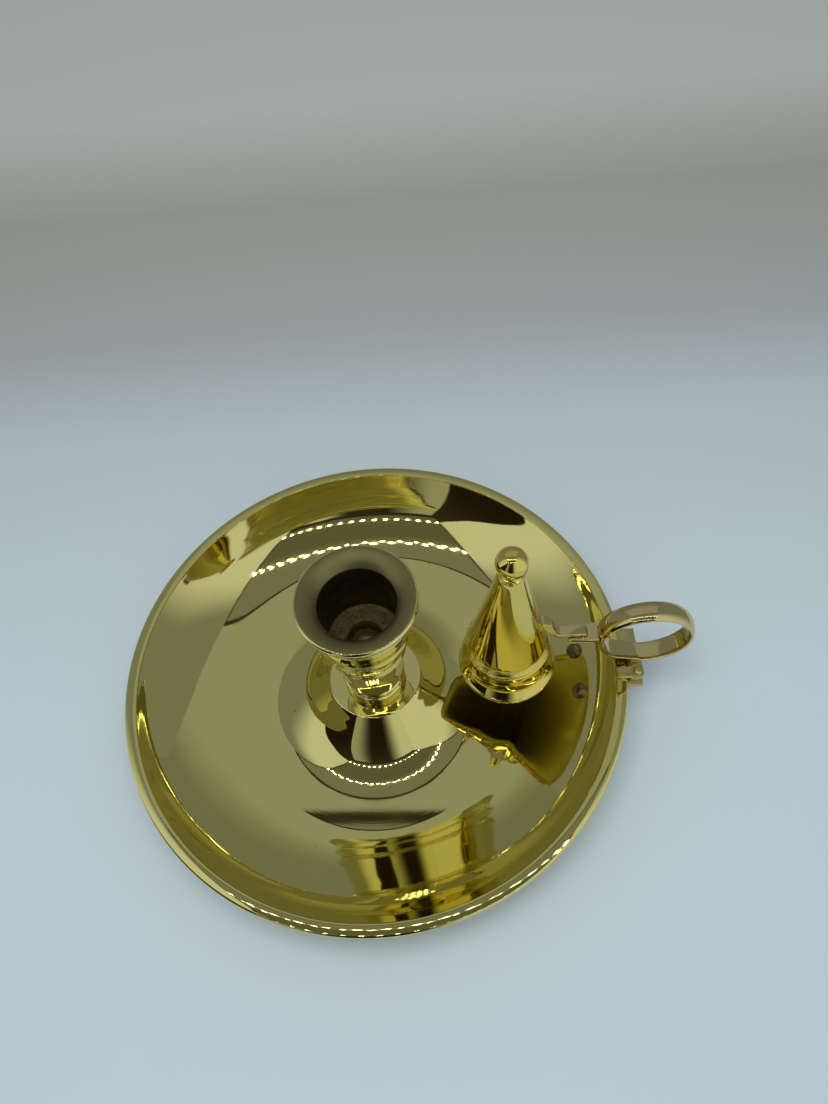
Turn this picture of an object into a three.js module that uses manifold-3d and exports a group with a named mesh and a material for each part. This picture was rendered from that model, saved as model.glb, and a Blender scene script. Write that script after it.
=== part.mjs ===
// Brass chamber candlestick: a spun drip pan with a raised boss, a turned candle socket bolted to it,
// a finger ring on a riveted foot at the rim, and a lift-off cone snuffer hung on a fork by the ring.
// Millimetres, +Z up, +X from the pan's axis towards the finger ring, table at z = 0.

import * as THREE from 'three';
import { mergeVertices } from 'three/addons/utils/BufferGeometryUtils.js';
import Module from 'manifold-3d';

const wasm = await Module();
wasm.setup();

// ---------------------------------------------------------------- driving dimensions
const GAP = 0.3;                  // clearance wherever two pieces meet

const PAN_RADIUS = 78;            // outside of the rim
const PAN_HEIGHT = 20;            // table to rim top
const SHEET = 1.6;                // pan sheet thickness
const RIM_BAND = 3.8;             // width of the flat rim band
const FLOOR_RADIUS = 46;          // where the wall leaves the floor
const BOSS_TOP = 13.6;            // height of the disc the socket stands on
const BOSS_DISC = 15.2;           // radius of that disc
const BOSS_FOOT = 37;             // radius where the boss runs into the floor

const CANDLE_BORE = 22;           // candle socket bore
const BORE_DEPTH = 24;            // lip to socket floor
const SOCKET_HEIGHT = 51;         // boss disc to socket lip
const SOCKET_WALL = 2.2;          // wall of the reeded cup, half way up
const LIP_WIDTH = 6.1;            // bore to the outside of the lip
const NECK_RADIUS = 9.2;          // narrow end of the socket's neck
const BOLT_SHANK = 6;             // centre bolt shank
const BOLT_HEAD = 9.8;            // centre bolt head
const POCKET_DEPTH = 5;           // pocket for the bolt head in the socket floor
const NUT_ACROSS = 10;            // nut, across flats
const NUT_HEIGHT = 4.6;           // nut height
const WASHER_RADIUS = 7.5;        // washer under the boss
const WASHER_THICK = 1.2;         // washer thickness

const RING_RADIUS = 14.3;         // outside of the finger ring
const RING_STRIP = 1.7;           // ring strip thickness
const RING_WIDTH = 6.2;           // ring strip width
const RING_OVERHANG = 3.8;        // ring centre beyond the rim

const FORK_WIDTH = 5.8;           // snuffer fork, across both prongs
const FORK_SLOT = 2.6;            // slot between the prongs
const FORK_SLOT_DEPTH = 5.9;      // prong tip to the end of the slot
const FORK_ABOVE = 2.85;          // fork top above the ring centre
const FORK_THICK = 1.8;           // fork thickness
const FORK_REACH = 8.7;           // prong tip to the ring

const FOOT_NEAR = 8.3;            // foot, near side of the centre plane
const FOOT_FAR = 1.2;             // foot, far side of the centre plane
const STRAP_HALF = 9.6;           // half width of the strap under the pan
const FOOT_REACH = 4.7;           // foot beyond the rim
const FOOT_THICK = 1.3;           // foot sheet thickness
const CLAW_WIDTH = 3.4;           // claw over the rim
const FOOT_RIVET = 1.6;           // foot rivet shank
const FOOT_RIVET_SIDE = 5.7;      // foot rivet, to the near side of the centre plane
const WALL_RIVET = 2.6;           // wall rivet shank
const RIVET_SPREAD = 7;           // wall rivets, each side of the centre plane
const RIVET_INSET = 13.4;         // wall rivets, inside of the rim

const SNUFFER_CLEAR = 2.55;       // snuffer mouth to the prong tips
const SNUFFER_MOUTH = 14.7;       // outside radius of the snuffer mouth
const SNUFFER_CROWN = 3.6;        // outside radius at the top of the cone
const SNUFFER_HEIGHT = 52;        // mouth to the top of the cone
const SNUFFER_WALL = 1.2;         // cone wall thickness
const BALL_RADIUS = 4.4;          // finial ball
const TONGUE_WIDTH = 3.3;         // tongue strip width
const TONGUE_THICK = 1.3;         // tongue strip thickness
const TONGUE_SEAT = 22;           // mouth to the tongue's lower edge on the cone
const TONGUE_RISE = 5.3;          // tongue's lower edge on the cone above its flat end

// ---------------------------------------------------------------- derived values
const boreRadius = CANDLE_BORE / 2;
const boltHole = BOLT_SHANK / 2 + GAP;
const pocketRadius = BOLT_HEAD / 2 + 2 * GAP;
const lipTop = BOSS_TOP + SOCKET_HEIGHT;
const socketFloor = lipTop - BORE_DEPTH;
const pocketFloor = socketFloor - POCKET_DEPTH;
const bossUnder = BOSS_TOP - SHEET;

const bandInner = PAN_RADIUS - RIM_BAND;
const edgeRound = SHEET / 2;
const rimCrown = 0.15;

const ringOffset = PAN_RADIUS + RING_OVERHANG;
const ringHeight = PAN_HEIGHT + GAP + Math.sqrt(RING_RADIUS ** 2 - (RING_OVERHANG + edgeRound) ** 2);
const ringLeft = ringOffset - RING_RADIUS;
const lapOuter = 270 - THREE.MathUtils.radToDeg(Math.asin((RING_OVERHANG - 3 * GAP) / RING_RADIUS));
const lapInner = 242;
const lapBlend = 300;
const ringFoot = ringHeight + RING_RADIUS * Math.sin(THREE.MathUtils.degToRad(lapOuter));

const footTop = ringFoot - GAP;
const footEnd = PAN_RADIUS + FOOT_REACH;
const footRivetHead = FOOT_RIVET / 2 + 0.5;
const footRivetAt = PAN_RADIUS + 2 * GAP + 1.1 + footRivetHead;
const strapTop = footTop - FOOT_THICK - GAP;
const rimUnder = PAN_HEIGHT - rimCrown - SHEET;

const forkTop = ringHeight + FORK_ABOVE;
const forkTip = ringLeft - FORK_REACH;
const slotEnd = forkTip + FORK_SLOT_DEPTH;

const tongueUnder = forkTop + GAP;
const snufferOffset = forkTip - SNUFFER_CLEAR - SNUFFER_MOUTH;
const snufferBase = tongueUnder + TONGUE_RISE - TONGUE_SEAT;

const overallLeft = -PAN_RADIUS;
const overallRight = ringOffset + RING_RADIUS;

// ---------------------------------------------------------------- shared helpers
const BRASS = { color: 0xb8a154, metalness: 1, roughness: 0.12 };
const SATIN_BRASS = { color: 0x9e8d52, metalness: 1, roughness: 0.35 };
const DEEP_BRASS = { color: 0xbd9a38, metalness: 1, roughness: 0.15 };
const DARK_BRASS = { color: 0x4d3620, metalness: 1, roughness: 0.5 };
const STEEL = { color: 0x8f8f8c, metalness: 1, roughness: 0.4 };

function mesh(name, geometry, look) {
  const node = new THREE.Mesh(geometry, new THREE.MeshStandardMaterial(look));
  node.name = name;
  return node;
}

function signedVolume(position, index) {
  let sum = 0;
  for (let i = 0; i < index.length; i += 3) {
    const [a, b, c] = [index[i] * 3, index[i + 1] * 3, index[i + 2] * 3];
    const [ax, ay, az] = [position[a], position[a + 1], position[a + 2]];
    const [bx, by, bz] = [position[b], position[b + 1], position[b + 2]];
    const [cx, cy, cz] = [position[c], position[c + 1], position[c + 2]];
    sum += ax * (by * cz - bz * cy) - ay * (bx * cz - bz * cx) + az * (bx * cy - by * cx);
  }
  return sum;
}

// Turns a three.js geometry into a clean solid with its faces outward.
function solid(geometry) {
  const bare = new THREE.BufferGeometry();
  bare.setAttribute('position', geometry.getAttribute('position').clone());
  if (geometry.index) bare.setIndex(geometry.index.clone());
  const merged = mergeVertices(bare, 1e-4);
  const source = merged.index.array;
  const index = [];
  for (let i = 0; i < source.length; i += 3) {
    const [a, b, c] = [source[i], source[i + 1], source[i + 2]];
    if (a !== b && b !== c && c !== a) index.push(a, b, c);
  }
  const position = merged.getAttribute('position').array;
  if (signedVolume(position, index) < 0) index.reverse();
  return new wasm.Manifold(new wasm.Mesh({
    numProp: 3,
    vertProperties: new Float32Array(position),
    triVerts: new Uint32Array(index),
  }));
}

// Turns a solid back into a three.js geometry with flat facets.
function geometryOf(body) {
  const out = body.getMesh();
  const geometry = new THREE.BufferGeometry();
  geometry.setAttribute('position', new THREE.BufferAttribute(new Float32Array(out.vertProperties), 3));
  geometry.setIndex(new THREE.BufferAttribute(new Uint32Array(out.triVerts), 1));
  const flat = geometry.toNonIndexed();
  flat.computeVertexNormals();
  return flat;
}

// A profile of [radius, height] pairs turned about Z. It starts and ends on the axis.
function turned(profile, segments) {
  const points = profile.map(([r, z]) => new THREE.Vector2(r, z));
  const geometry = new THREE.LatheGeometry(points, segments);
  geometry.rotateX(Math.PI / 2);
  return solid(geometry);
}

// The same for a profile that closes on itself, off the axis.
function turnedRing(profile, segments) {
  return turned([...profile, profile[0]], segments);
}

// A round bar on the Z axis from z = low to z = high.
function bar(radius, low, high, segments) {
  const geometry = new THREE.CylinderGeometry(radius, radius, high - low, segments);
  geometry.rotateX(Math.PI / 2);
  geometry.translate(0, 0, (low + high) / 2);
  return geometry;
}

// A plate whose outline lies in the XZ plane, centred on y = middle.
function platedXZ(outline, width, middle = 0, holes = []) {
  const shape = new THREE.Shape(outline.map(([x, z]) => new THREE.Vector2(x, z)));
  for (const hole of holes) {
    shape.holes.push(new THREE.Path(hole.map(([x, z]) => new THREE.Vector2(x, z))));
  }
  const geometry = new THREE.ExtrudeGeometry(shape, { depth: width, bevelEnabled: false });
  geometry.rotateX(Math.PI / 2);
  geometry.translate(0, middle + width / 2, 0);
  return solid(geometry);
}

// A plate whose outline lies in the XY plane, from z = low to z = high.
function platedXY(outline, low, high) {
  const shape = new THREE.Shape(outline.map(([x, y]) => new THREE.Vector2(x, y)));
  const geometry = new THREE.ExtrudeGeometry(shape, { depth: high - low, bevelEnabled: false });
  geometry.translate(0, 0, low);
  return solid(geometry);
}

// Points of an arc in a profile, angles in degrees from +radius towards +height.
function arc(r, z, radius, from, to, steps) {
  const points = [];
  for (let i = 0; i <= steps; i += 1) {
    const angle = THREE.MathUtils.degToRad(from + ((to - from) * i) / steps);
    points.push([r + radius * Math.cos(angle), z + radius * Math.sin(angle)]);
  }
  return points;
}

// Shifts a profile along its own normal, to the right of its direction.
function offsetProfile(points, distance) {
  return points.map((point, i) => {
    const before = points[Math.max(i - 1, 0)];
    const after = points[Math.min(i + 1, points.length - 1)];
    const along = new THREE.Vector2(after[0] - before[0], after[1] - before[1]).normalize();
    return [point[0] + along.y * distance, point[1] - along.x * distance];
  });
}

// ---------------------------------------------------------------- drip pan
// Wall and boss faces as fractions of their run and rise.
const WALL = [[0, 0], [0.07, 0.011], [0.14, 0.028], [0.21, 0.059], [0.29, 0.1], [0.43, 0.199],
  [0.57, 0.325], [0.71, 0.479], [0.79, 0.582], [0.86, 0.7], [0.93, 0.838], [1, 1]];
const BOSS = [[1, 0.95], [0.91, 0.765], [0.82, 0.6], [0.725, 0.44], [0.63, 0.3], [0.54, 0.204],
  [0.45, 0.133], [0.36, 0.08], [0.27, 0.038], [0.17, 0.01], [0, 0]];

const wallFace = WALL.map(([f, g]) => [
  FLOOR_RADIUS + f * (bandInner - 0.2 - FLOOR_RADIUS),
  SHEET + g * (PAN_HEIGHT - 0.8 - SHEET),
]);
const bossFace = BOSS.map(([f, g]) => [
  BOSS_FOOT - f * (BOSS_FOOT - BOSS_DISC),
  SHEET + g * (BOSS_TOP - SHEET),
]);

// Where the wall rivets sit: height and slope of the wall face there.
const rivetAt = PAN_RADIUS - RIVET_INSET;
const rivetSpot = (() => {
  const i = wallFace.findIndex(([r]) => r > rivetAt);
  const [r0, z0] = wallFace[i - 1];
  const [r1, z1] = wallFace[i];
  const height = z0 + ((rivetAt - r0) / (r1 - r0)) * (z1 - z0);
  return { height, slope: Math.atan2(z1 - z0, r1 - r0) };
})();
const rivetX = Math.sqrt(rivetAt ** 2 - RIVET_SPREAD ** 2);

function wallRivetHole(side) {
  const hole = bar(WALL_RIVET / 2 + GAP, -8, 8, 20);
  hole.rotateY(-rivetSpot.slope);
  hole.translate(rivetX, side * RIVET_SPREAD, rivetSpot.height);
  return solid(hole);
}

function dripPan() {
  const wallBack = offsetProfile(wallFace, SHEET);
  wallBack[0] = [FLOOR_RADIUS, 0];
  const bossBack = offsetProfile(bossFace, SHEET);
  bossBack[0] = [BOSS_DISC - 0.9, bossUnder];
  bossBack[bossBack.length - 1] = [BOSS_FOOT, 0];
  const profile = [
    [boltHole, BOSS_TOP],
    [BOSS_DISC - 0.5, BOSS_TOP],
    ...bossFace,
    ...wallFace,
    [bandInner + 0.1, PAN_HEIGHT - 0.45],
    [bandInner + 0.35, PAN_HEIGHT - 0.1],
    [bandInner + 1, PAN_HEIGHT],
    [PAN_RADIUS - edgeRound - 0.9, PAN_HEIGHT],
    ...arc(PAN_RADIUS - edgeRound, PAN_HEIGHT - rimCrown - edgeRound, edgeRound, 80, -90, 6),
    [bandInner + 1.4, PAN_HEIGHT - SHEET],
    ...wallBack.slice().reverse(),
    ...bossBack.slice().reverse(),
    [boltHole, bossUnder],
  ];
  let body = turnedRing(profile, 64);
  for (const side of [-1, 1]) body = body.subtract(wallRivetHole(side));
  return mesh('drip_pan', geometryOf(body), BRASS);
}

// ---------------------------------------------------------------- candle socket and its bolt
function candleSocket() {
  const base = BOSS_TOP + GAP;
  const wall = boreRadius + SOCKET_WALL;
  const neck = NECK_RADIUS;
  const outside = [
    [neck - 0.4, base],
    [neck + 0.2, base + 0.6],
    [neck + 0.2, base + 2.4],
    [neck, base + 3.2],
    [neck + 0.6, base + 4],
    [neck + 0.6, base + 5.2],
    [neck + 0.2, base + 6],
    [neck + 0.3, base + 8.5],
    [neck + 1.1, socketFloor - 11],
    [(neck + wall) / 2 - 0.3, socketFloor - 7.2],
    [wall - 1.9, socketFloor - 4.6],
    [wall - 1.2, socketFloor - 3.9],
    [wall - 1.2, socketFloor - 1],
    [wall - 0.8, socketFloor - 0.2],
    [wall - 0.7, socketFloor + 2],
    [wall - 0.2, lipTop - 18.6],
    [wall + 0.3, lipTop - 17.9],
    [wall + 0.5, lipTop - 15.7],
    [wall + 0.4, lipTop - 15],
    [wall + 1.3, lipTop - 8.7],
    [wall + 1.9, lipTop - 7.9],
    [wall + 2.1, lipTop - 6],
    [wall + 1.9, lipTop - 5.2],
    [wall + 2.2, lipTop - 3.6],
    [boreRadius + LIP_WIDTH, lipTop - 1.7],
    [boreRadius + LIP_WIDTH, lipTop - 0.5],
    [boreRadius + LIP_WIDTH - 0.5, lipTop],
  ];
  const inside = [
    [boreRadius + LIP_WIDTH - 1.6, lipTop],
    [boreRadius + 2.2, lipTop - 1.2],
    [boreRadius + 0.6, lipTop - 2.3],
    [boreRadius, lipTop - 3.4],
    [boreRadius, socketFloor],
    [pocketRadius, socketFloor],
    [pocketRadius, pocketFloor],
    [boltHole, pocketFloor],
    [boltHole, base],
  ];
  return mesh('candle_socket', geometryOf(turnedRing([...outside, ...inside], 48)), BRASS);
}

const washerTop = bossUnder - GAP;
const nutTop = washerTop - WASHER_THICK - GAP;

function centreBolt() {
  const seat = pocketFloor + GAP;
  const head = BOLT_HEAD / 2;
  const shank = BOLT_SHANK / 2;
  const end = nutTop - NUT_HEIGHT - 1.6;
  const profile = [
    [0, end],
    [shank - 0.6, end],
    [shank, end + 0.6],
    [shank, seat],
    [head, seat],
    [head, seat + 1.6],
    [head * 0.86, seat + 2.7],
    [head * 0.5, seat + 3.4],
    [0, seat + 3.7],
  ];
  return mesh('centre_bolt', geometryOf(turned(profile, 28)), BRASS);
}

function baseWasher() {
  const low = washerTop - WASHER_THICK;
  const profile = [
    [boltHole, low],
    [WASHER_RADIUS, low],
    [WASHER_RADIUS, washerTop],
    [boltHole, washerTop],
  ];
  return mesh('base_washer', geometryOf(turnedRing(profile, 32)), STEEL);
}

function baseNut() {
  const hex = solid(bar(NUT_ACROSS / Math.sqrt(3), nutTop - NUT_HEIGHT, nutTop, 6));
  const hole = solid(bar(boltHole, nutTop - NUT_HEIGHT - 1, nutTop + 1, 28));
  return mesh('base_nut', geometryOf(hex.subtract(hole)), STEEL);
}

// ---------------------------------------------------------------- finger ring
// One turn of strip with lapped ends. One end stops at lapOuter on the outside. The other runs
// in under the first and stops at lapInner on the inside. Angles are in degrees from +X.
function lapShift(angle) {
  const f = THREE.MathUtils.clamp((lapBlend - angle) / (lapBlend - lapOuter - 4), 0, 1);
  return RING_STRIP * f * f * (3 - 2 * f);
}

function fingerRing() {
  const outer = [];
  const inner = [];
  const put = (list, angle, radius) => {
    const a = THREE.MathUtils.degToRad(angle);
    list.push([ringOffset + radius * Math.cos(a), ringHeight + radius * Math.sin(a)]);
  };
  for (let angle = lapBlend; angle < lapOuter + 360; angle += 6) put(outer, angle, RING_RADIUS);
  put(outer, lapOuter, RING_RADIUS);
  put(outer, lapOuter, RING_RADIUS - RING_STRIP);
  for (let angle = lapOuter + 4; angle < lapBlend; angle += 6) {
    put(outer, angle, RING_RADIUS - lapShift(angle));
  }
  for (let angle = lapBlend; angle < lapInner + 360; angle += 6) {
    put(inner, angle, RING_RADIUS - RING_STRIP);
  }
  put(inner, lapInner, RING_RADIUS - RING_STRIP);
  put(inner, lapInner, RING_RADIUS - 2 * RING_STRIP);
  for (let angle = lapInner + 4; angle < lapBlend; angle += 6) {
    put(inner, angle, RING_RADIUS - RING_STRIP - lapShift(angle));
  }
  return mesh('finger_ring', geometryOf(platedXZ(outer, RING_WIDTH, 0, [inner])), BRASS);
}

// ---------------------------------------------------------------- snuffer fork
function snufferFork() {
  const half = FORK_WIDTH / 2;
  const slot = FORK_SLOT / 2;
  const plate = platedXY([
    [ringOffset, -half],
    [ringOffset, half],
    [forkTip + 0.8, half],
    [forkTip, half - 0.7],
    [forkTip, slot],
    [slotEnd, slot],
    [slotEnd, -slot],
    [forkTip, -slot],
    [forkTip, -half + 0.7],
    [forkTip + 0.8, -half],
  ], forkTop - FORK_THICK, forkTop);
  const saddle = bar(RING_RADIUS + GAP, -FORK_WIDTH, FORK_WIDTH, 120);
  saddle.rotateX(Math.PI / 2);
  saddle.translate(ringOffset, 0, ringHeight);
  return mesh('snuffer_fork', geometryOf(plate.subtract(solid(saddle))), BRASS);
}

// ---------------------------------------------------------------- foot, strap and rivets
function footRivetHole() {
  const hole = bar(FOOT_RIVET / 2 + GAP, strapTop - SHEET - 2, footTop + 2, 16);
  hole.translate(footRivetAt, -FOOT_RIVET_SIDE, 0);
  return solid(hole);
}

function handleFoot() {
  const inner = PAN_RADIUS + GAP;
  const clawTop = PAN_HEIGHT + GAP + 1.1;
  const plate = platedXY([
    [inner, -FOOT_NEAR],
    [footEnd - 1.3, -FOOT_NEAR],
    [footEnd, -FOOT_NEAR + 1.3],
    [footEnd, FOOT_FAR - 1.3],
    [footEnd - 1.3, FOOT_FAR],
    [inner, FOOT_FAR],
  ], footTop - FOOT_THICK, footTop);
  const claw = [
    [inner, footTop - FOOT_THICK],
    [inner + 1.1, footTop - FOOT_THICK],
    [inner + 1.1, clawTop - 0.4],
    [inner + 0.7, clawTop],
    [bandInner + 0.3, clawTop],
    [bandInner - 0.1, clawTop - 0.5],
    [bandInner - 0.1, PAN_HEIGHT + GAP],
    [inner, PAN_HEIGHT + GAP],
  ];
  const body = plate
    .add(platedXZ(claw, CLAW_WIDTH, CLAW_WIDTH / 2 - FOOT_NEAR))
    .subtract(footRivetHole());
  return mesh('handle_foot', geometryOf(body), SATIN_BRASS);
}

function bracketStrap() {
  const face = offsetProfile(wallFace, SHEET + GAP).slice(5, 11);
  const back = offsetProfile(wallFace, 2 * SHEET + GAP).slice(5, 11);
  const outline = [
    ...face,
    [bandInner + 2.6, rimUnder - GAP],
    [PAN_RADIUS + GAP, rimUnder - GAP],
    [PAN_RADIUS + 2 * GAP, strapTop],
    [footEnd - 0.4, strapTop],
    [footEnd - 0.4, strapTop - SHEET],
    [PAN_RADIUS + 3 * GAP, strapTop - SHEET],
    [PAN_RADIUS + 2 * GAP, rimUnder - GAP - SHEET],
    [bandInner + 3.2, rimUnder - GAP - SHEET],
    ...back.reverse(),
  ];
  const beyondFoot = platedXY([
    [bandInner + 1, FOOT_FAR],
    [footEnd + 1, FOOT_FAR],
    [footEnd + 1, STRAP_HALF + 1],
    [bandInner + 1, STRAP_HALF + 1],
  ], 0, PAN_HEIGHT);
  const body = [-1, 1]
    .reduce((strap, side) => strap.subtract(wallRivetHole(side)), platedXZ(outline, 2 * STRAP_HALF))
    .subtract(footRivetHole())
    .subtract(beyondFoot);
  return mesh('bracket_strap', geometryOf(body), SATIN_BRASS);
}

function footRivet() {
  const shank = FOOT_RIVET / 2;
  const low = strapTop - SHEET - GAP;
  const high = footTop + GAP;
  const profile = [
    [0, low - 0.7],
    [shank + 0.3, low - 0.7],
    [shank + 0.8, low],
    [shank, low],
    [shank, high],
    [footRivetHead, high],
    [footRivetHead - 0.3, high + 0.3],
    [0, high + 0.4],
  ];
  const node = mesh('foot_rivet', geometryOf(turned(profile, 16)), SATIN_BRASS);
  node.position.set(footRivetAt, -FOOT_RIVET_SIDE, 0);
  return node;
}

function wallRivet(name, side) {
  const shank = WALL_RIVET / 2;
  const seat = GAP + 0.15;
  const tail = -2 * SHEET - 3 * GAP - 0.5;
  const profile = [
    [0, tail - 1],
    [shank + 0.3, tail - 1],
    [shank + 0.9, tail - 0.5],
    [shank + 0.9, tail],
    [shank, tail],
    [shank, seat],
    [shank + 1.3, seat],
    [shank + 1.2, seat + 0.55],
    [shank + 0.6, seat + 1],
    [shank - 0.3, seat + 1.25],
    [0, seat + 1.3],
  ];
  const node = mesh(name, geometryOf(turned(profile, 20)), DARK_BRASS);
  node.position.set(rivetX, side * RIVET_SPREAD, rivetSpot.height);
  node.rotation.y = -rivetSpot.slope;
  return node;
}

// ---------------------------------------------------------------- snuffer, about its own axis
const shoulder = SNUFFER_MOUTH - 4.2;
const shoulderHeight = 20;

function coneRadius(height) {
  const f = (height - shoulderHeight) / (SNUFFER_HEIGHT - shoulderHeight);
  return shoulder + (SNUFFER_CROWN - shoulder) * f;
}

function snufferCone() {
  const mouth = SNUFFER_MOUTH;
  const pin = 1 + GAP;
  const profile = [
    [mouth - 0.7, 0],
    [mouth, 0.5],
    [mouth, 1.4],
    [mouth - 1, 2.5],
    [mouth - 2.2, 4.2],
    [mouth - 2.6, 6.4],
    [mouth - 2.3, 9.6],
    [mouth - 1.7, 12.8],
    [mouth - 1.4, 13.7],
    [mouth - 1.5, 14.8],
    [mouth - 2.1, 15.7],
    [mouth - 2.1, 16.8],
    [mouth - 2.8, 17.6],
    [mouth - 2.9, 18.6],
    [mouth - 3.8, 19.4],
    [shoulder, shoulderHeight],
    [SNUFFER_CROWN, SNUFFER_HEIGHT],
    [pin, SNUFFER_HEIGHT],
    [pin, SNUFFER_HEIGHT - 2.2],
    [SNUFFER_CROWN - SNUFFER_WALL - 0.1, SNUFFER_HEIGHT - 2.2],
    [shoulder - SNUFFER_WALL, shoulderHeight - 0.2],
    [mouth - 2.5 - SNUFFER_WALL, 13],
    [mouth - 2.9 - SNUFFER_WALL, 6],
    [mouth - 1.5 - SNUFFER_WALL, 1.4],
    [mouth - 1.3, 0],
  ];
  return mesh('snuffer_cone', geometryOf(turnedRing(profile, 40)), DEEP_BRASS);
}

function snufferFinial() {
  const centre = 1 + BALL_RADIUS;
  const profile = [
    [0, -3.4],
    [1, -3.4],
    [1, 0],
    [SNUFFER_CROWN - 0.4, 0],
    [SNUFFER_CROWN - 0.1, 0.5],
    [BALL_RADIUS / 2 + 0.5, 1.3],
    ...arc(0, centre, BALL_RADIUS, -52, 82, 9),
    [0, centre + BALL_RADIUS],
  ];
  const node = mesh('snuffer_finial', geometryOf(turned(profile, 32)), DEEP_BRASS);
  node.position.z = SNUFFER_HEIGHT + GAP;
  return node;
}

// A bent strip fixed to the cone. It runs out over the fork and its narrow end turns down
// into the slot.
function snufferTongue() {
  const flat = TONGUE_SEAT - TONGUE_RISE;
  const top = flat + TONGUE_THICK;
  const bend = forkTip - 3.1 - snufferOffset;
  const end = slotEnd - GAP - snufferOffset;
  const seatTop = TONGUE_SEAT + 3.4;
  const strip = platedXZ([
    [bend, flat],
    [end, flat],
    [end, top],
    [bend + 0.6, top],
    [coneRadius(TONGUE_SEAT) + GAP + 1.9, seatTop - 1.2],
    [coneRadius(seatTop) + GAP + 0.3, seatTop],
    [coneRadius(seatTop) + GAP, seatTop],
    [coneRadius(TONGUE_SEAT) + GAP, TONGUE_SEAT],
  ], TONGUE_WIDTH);
  const tab = platedXZ([
    [end - TONGUE_THICK, flat - GAP - FORK_THICK - 0.6],
    [end, flat - GAP - FORK_THICK - 0.6],
    [end, top],
    [end - TONGUE_THICK, top],
  ], FORK_SLOT - 2 * GAP);
  return mesh('snuffer_tongue', geometryOf(strip.add(tab)), BRASS);
}

// ---------------------------------------------------------------- assembly
const snuffer = new THREE.Group();
snuffer.name = 'snuffer';
snuffer.position.set(snufferOffset, 0, snufferBase);
snuffer.add(snufferCone(), snufferFinial(), snufferTongue());

const handle = new THREE.Group();
handle.name = 'handle';
handle.add(
  fingerRing(),
  snufferFork(),
  handleFoot(),
  bracketStrap(),
  footRivet(),
  wallRivet('wall_rivet_near', -1),
  wallRivet('wall_rivet_far', 1),
);

const candlestick = new THREE.Group();
candlestick.name = 'candlestick';
candlestick.position.x = -(overallLeft + overallRight) / 2;
candlestick.add(dripPan(), candleSocket(), centreBolt(), baseWasher(), baseNut(), handle, snuffer);

const object = new THREE.Group();
object.name = 'brass_candlestick';
object.add(candlestick);

export default object;
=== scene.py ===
# Brass chamber candlestick: a spun drip pan with a turned socket bolted to its boss, a finger
# ring on a riveted foot at the rim, and a cone snuffer that lifts off its fork.

from math import atan2, cos, hypot, pi, radians, sin, sqrt

import bmesh
import bpy
from mathutils import Matrix, Vector


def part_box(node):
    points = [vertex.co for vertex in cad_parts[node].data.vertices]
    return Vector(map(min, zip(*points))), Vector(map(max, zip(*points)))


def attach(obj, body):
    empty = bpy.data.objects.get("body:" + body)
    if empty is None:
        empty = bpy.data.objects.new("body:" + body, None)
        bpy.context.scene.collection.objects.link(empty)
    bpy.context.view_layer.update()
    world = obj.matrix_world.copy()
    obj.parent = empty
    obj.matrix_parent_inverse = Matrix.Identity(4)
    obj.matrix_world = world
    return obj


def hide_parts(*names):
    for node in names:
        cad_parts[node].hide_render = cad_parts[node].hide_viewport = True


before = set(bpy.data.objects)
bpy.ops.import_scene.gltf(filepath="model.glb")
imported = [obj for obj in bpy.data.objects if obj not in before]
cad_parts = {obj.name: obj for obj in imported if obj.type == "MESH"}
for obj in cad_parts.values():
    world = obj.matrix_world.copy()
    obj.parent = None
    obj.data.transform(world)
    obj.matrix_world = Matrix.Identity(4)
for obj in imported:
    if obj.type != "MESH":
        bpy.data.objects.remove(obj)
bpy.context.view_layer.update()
bpy.ops.object.select_all(action="DESELECT")

# ------------------------------------------------------------------------- camera
# A hand-held view from above and in front, a little to the left of the pan's axis, with a
# wide phone lens tilted well down.
mm = 0.001
pan_low, pan_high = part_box("drip_pan")
pan_x = (pan_low[0] + pan_high[0]) / 2
rim_z = pan_high[2]

view_turn = radians(13.15)
stand_off, above_rim = 115.13 * mm, 244.96 * mm
swing, tilt, lean = radians(8.58), radians(57.87), radians(-7.18)

look = Vector((sin(swing) * cos(tilt), cos(swing) * cos(tilt), -sin(tilt)))
level = Vector((cos(swing), -sin(swing), 0))
over = level.cross(look)
across = cos(lean) * level + sin(lean) * over
upward = -sin(lean) * level + cos(lean) * over
turn = Matrix.Rotation(view_turn, 3, "Z")
axes = Matrix((turn @ across, turn @ upward, turn @ -look)).transposed().to_4x4()
place = turn @ Vector((0, -stand_off, above_rim)) + Vector((pan_x, 0, rim_z))

bpy.ops.object.camera_add(location=place, rotation=axes.to_euler())
camera = bpy.context.object
camera.name = "studio_camera"
camera.data.sensor_width = 36
camera.data.lens = 860 / 1104 * 36
camera.data.clip_start = 0.01
bpy.context.scene.camera = camera

# ------------------------------------------------------------------------- studio
# A pale floor and soft light from above; the floor is painted darker and yellower in a band
# behind the pan, painted shade. Polished brass also needs something to mirror, so a small light
# tent stands over it that only mirror reflections see: bright side walls, a curved backdrop, a
# dim ceiling with three rows of lamps, and a dark opening at the front.
scene = bpy.context.scene
scene.view_settings.view_transform = "Standard"


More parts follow.
